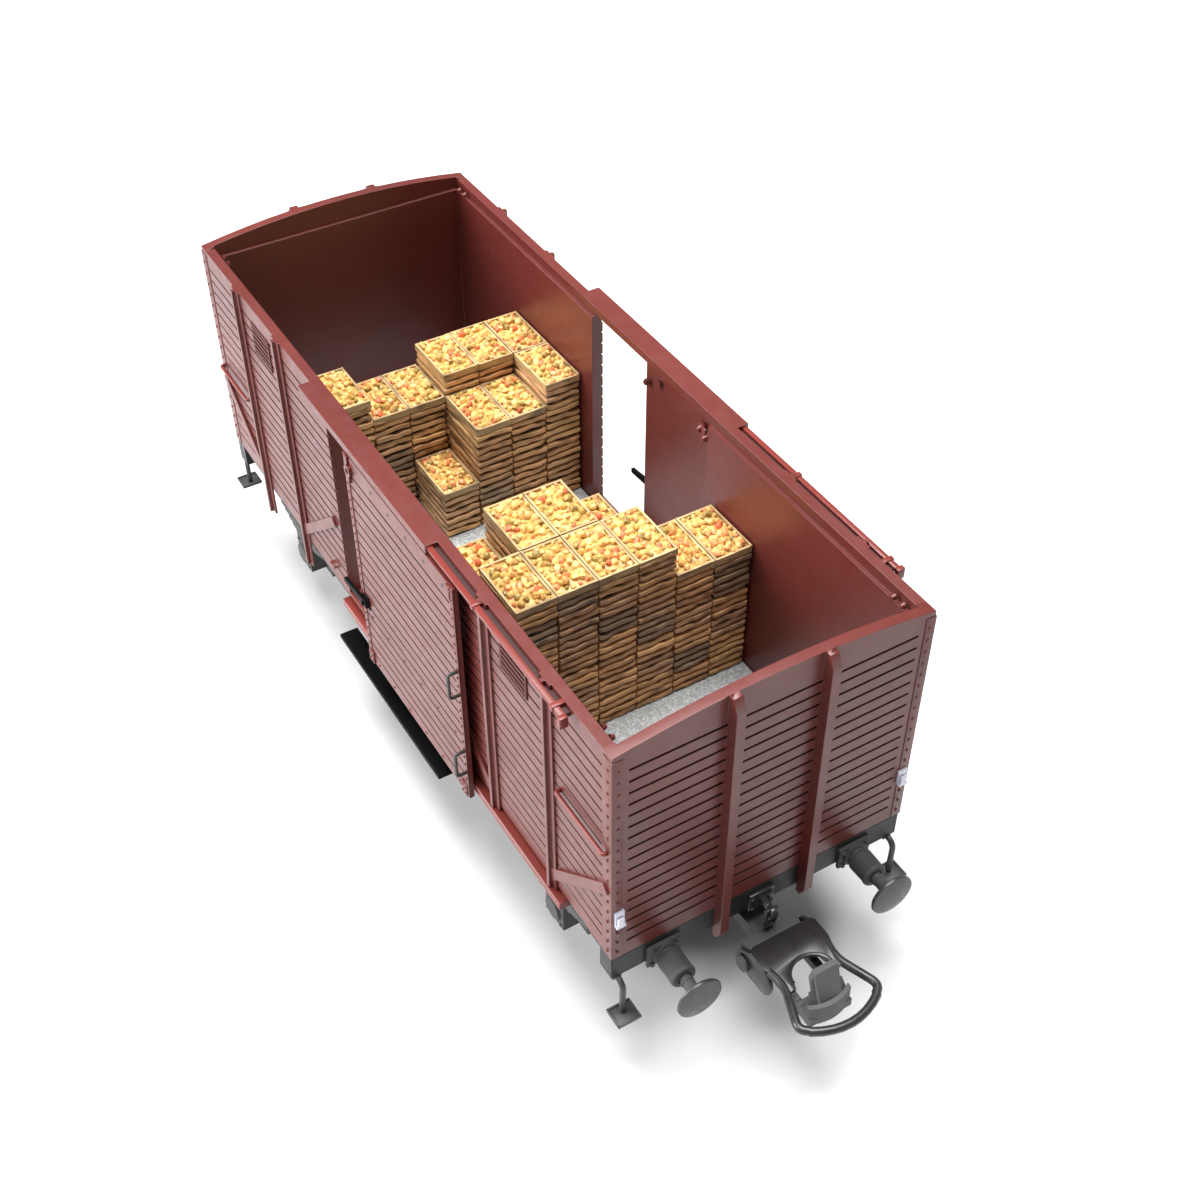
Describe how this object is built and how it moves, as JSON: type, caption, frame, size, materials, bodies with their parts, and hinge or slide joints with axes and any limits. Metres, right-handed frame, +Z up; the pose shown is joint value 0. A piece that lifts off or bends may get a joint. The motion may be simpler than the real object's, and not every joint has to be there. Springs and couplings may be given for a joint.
{
  "type": "model goods van",
  "caption": "Open-topped H0 scale model of a two-axle planked goods van with sliding side doors, loop couplers and stacked fruit crate loads.",
  "frame": {"origin": "under the middle of the van, at the lowest point of the wheel flanges", "axes": "+X along the track to the front coupler, +Y to the left side, +Z up"},
  "size_m": [0.11, 0.035, 0.0417],
  "materials": {
    "red_moulding": "satin moulded red oxide",
    "black_moulding": "matt black moulding",
    "ballast_steel": "speckled light grey sheet",
    "buffer_metal": "blackened turned metal, worn grey face",
    "black_wire": "blackened wire",
    "red_wire": "red painted wire",
    "grey_fitting": "pale grey paint",
    "gloss_black": "gloss black",
    "wheel_steel": "dark browned steel with bright treads",
    "coupler_black": "satin black acetal",
    "coupler_loop_metal": "blackened pressed metal",
    "crate_resin": "painted casting of slatted crates with fruit"
  },
  "bodies": {
    "van": {"body_shell": "red_moulding", "underframe": "black_moulding", "ballast_plate": "ballast_steel", "brake_shoes": "black_moulding", "brake_rigging": "black_moulding", "ventilator_front_left": "red_moulding", "buffer_casing_front_left": "black_moulding", "buffer_head_front_left": "buffer_metal", "axle_guard_front_left": "black_moulding", "shunter_step_front_left": "black_wire", "lamp_iron_front_left": "grey_fitting", "ventilator_front_right": "red_moulding", "buffer_casing_front_right": "black_moulding", "buffer_head_front_right": "buffer_metal", "axle_guard_front_right": "black_moulding", "shunter_step_front_right": "black_wire", "lamp_iron_front_right": "grey_fitting", "ventilator_rear_left": "red_moulding", "buffer_casing_rear_left": "black_moulding", "buffer_head_rear_left": "buffer_metal", "axle_guard_rear_left": "black_moulding", "shunter_step_rear_left": "black_wire", "lamp_iron_rear_left": "grey_fitting", "ventilator_rear_right": "red_moulding", "buffer_casing_rear_right": "black_moulding", "buffer_head_rear_right": "buffer_metal", "axle_guard_rear_right": "black_moulding", "shunter_step_rear_right": "black_wire", "lamp_iron_rear_right": "grey_fitting", "door_rail_left": "red_moulding", "sill_rail_left": "red_moulding", "running_board_left": "black_moulding", "rope_rail_left": "red_wire", "door_rail_right": "red_moulding", "sill_rail_right": "red_moulding", "running_board_right": "black_moulding", "rope_rail_right": "red_wire", "draw_hook_front": "gloss_black", "coupler_guide_front": "black_moulding", "draw_hook_rear": "gloss_black", "coupler_guide_rear": "black_moulding"},
    "wheelset_front": {"axle_front": "wheel_steel", "wheel_front_left": "wheel_steel", "wheel_front_right": "wheel_steel"},
    "coupler_front": {"coupler_head_front": "coupler_black"},
    "loop_front": {"coupler_loop_front": "coupler_loop_metal"},
    "wheelset_rear": {"axle_rear": "wheel_steel", "wheel_rear_left": "wheel_steel", "wheel_rear_right": "wheel_steel"},
    "coupler_rear": {"coupler_head_rear": "coupler_black"},
    "loop_rear": {"coupler_loop_rear": "coupler_loop_metal"},
    "door_left_body": {"door_left": "red_moulding", "door_handles_left": "black_wire", "door_latch_left": "black_wire"},
    "door_right_body": {"door_right": "red_moulding", "door_handles_right": "black_wire", "door_latch_right": "black_wire"},
    "load_front_body": {"load_front": "crate_resin"},
    "load_rear_body": {"load_rear": "crate_resin"}
  },
  "joints": [
    {"name": "wheelset_front_spin", "type": "hinge", "parent": "van", "child": "wheelset_front", "pos_m": [0.0285, 0, 0.0067], "axis": [0, 1, 0], "continuous": true},
    {"name": "wheelset_rear_spin", "type": "hinge", "parent": "van", "child": "wheelset_rear", "pos_m": [-0.0285, 0, 0.0067], "axis": [0, 1, 0], "continuous": true},
    {"name": "door_left_slide", "type": "slide", "parent": "van", "child": "door_left_body", "axis": [1, 0, 0], "range_m": [-0.0074, 0.0134]},
    {"name": "door_right_slide", "type": "slide", "parent": "van", "child": "door_right_body", "axis": [1, 0, 0], "range_m": [-0.0074, 0.0134]},
    {"name": "coupler_front_swing", "type": "hinge", "parent": "van", "child": "coupler_front", "pos_m": [0.034, 0, 0.01005], "axis": [0, 0, 1], "range_deg": [-12, 12], "stiffness_Nm_per_rad": 0.0002},
    {"name": "loop_front_lift", "type": "hinge", "parent": "coupler_front", "child": "loop_front", "pos_m": [0.0442, 0, 0.01005], "axis": [0, -1, 0], "range_deg": [0, 25]},
    {"name": "load_front_lift", "type": "slide", "parent": "van", "child": "load_front_body", "axis": [0, 0, 1], "range_m": [0, 0.026]},
    {"name": "coupler_rear_swing", "type": "hinge", "parent": "van", "child": "coupler_rear", "pos_m": [-0.034, 0, 0.01005], "axis": [0, 0, 1], "range_deg": [-12, 12], "stiffness_Nm_per_rad": 0.0002},
    {"name": "loop_rear_lift", "type": "hinge", "parent": "coupler_rear", "child": "loop_rear", "pos_m": [-0.0442, 0, 0.01005], "axis": [0, 1, 0], "range_deg": [0, 25]},
    {"name": "load_rear_lift", "type": "slide", "parent": "van", "child": "load_rear_body", "axis": [0, 0, 1], "range_m": [0, 0.026]}
  ]
}
